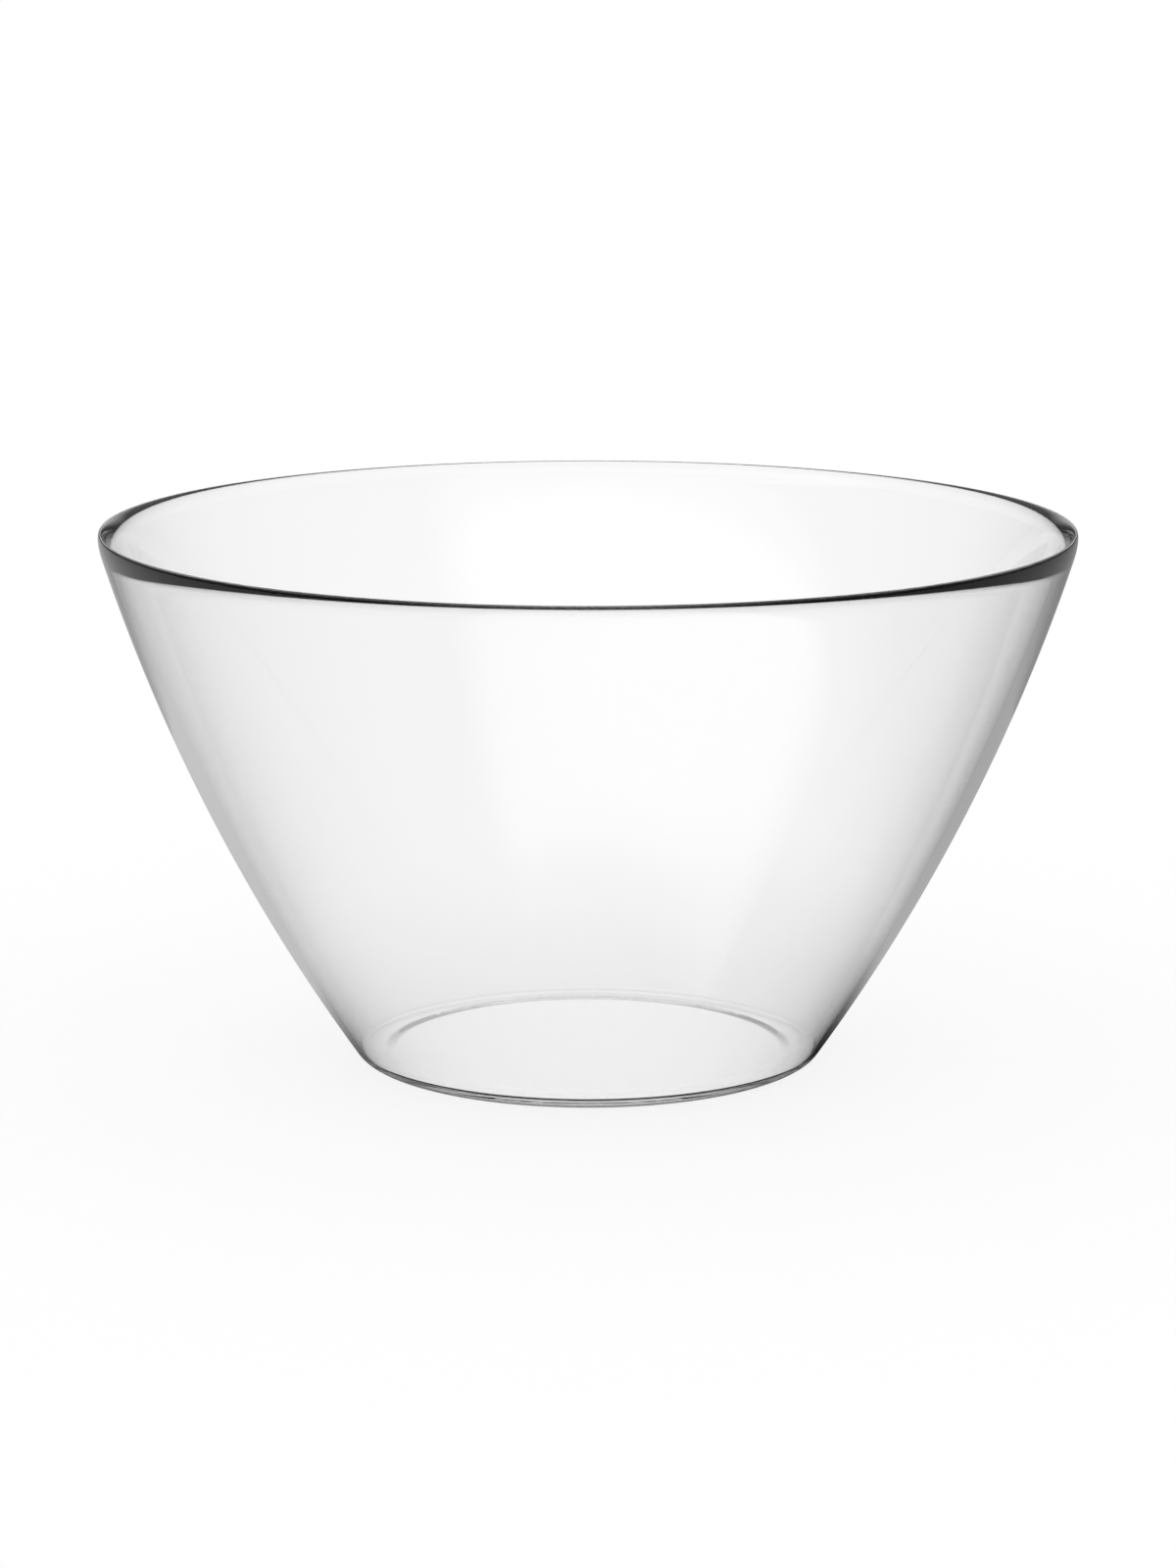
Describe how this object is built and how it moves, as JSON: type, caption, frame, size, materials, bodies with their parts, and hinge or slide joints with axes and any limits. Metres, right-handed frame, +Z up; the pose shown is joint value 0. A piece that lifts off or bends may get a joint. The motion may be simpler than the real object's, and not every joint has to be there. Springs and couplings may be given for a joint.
{
  "type": "salad bowl",
  "caption": "Round clear-glass salad bowl with a tall wall that flares in one long curve from a small flat foot to a wide plain mouth, for serving food.",
  "frame": {"origin": "centre of the foot, on the surface that the bowl stands on", "axes": "+Z up along the axis that the bowl is turned about, +X to the right and -Y towards the viewer of the picture"},
  "size_m": [0.25, 0.25, 0.138],
  "materials": {
    "clear_glass": "fire-polished, clear and colourless, smooth all over"
  },
  "bodies": {
    "root": {"glass_bowl": "clear_glass"}
  },
  "joints": []
}
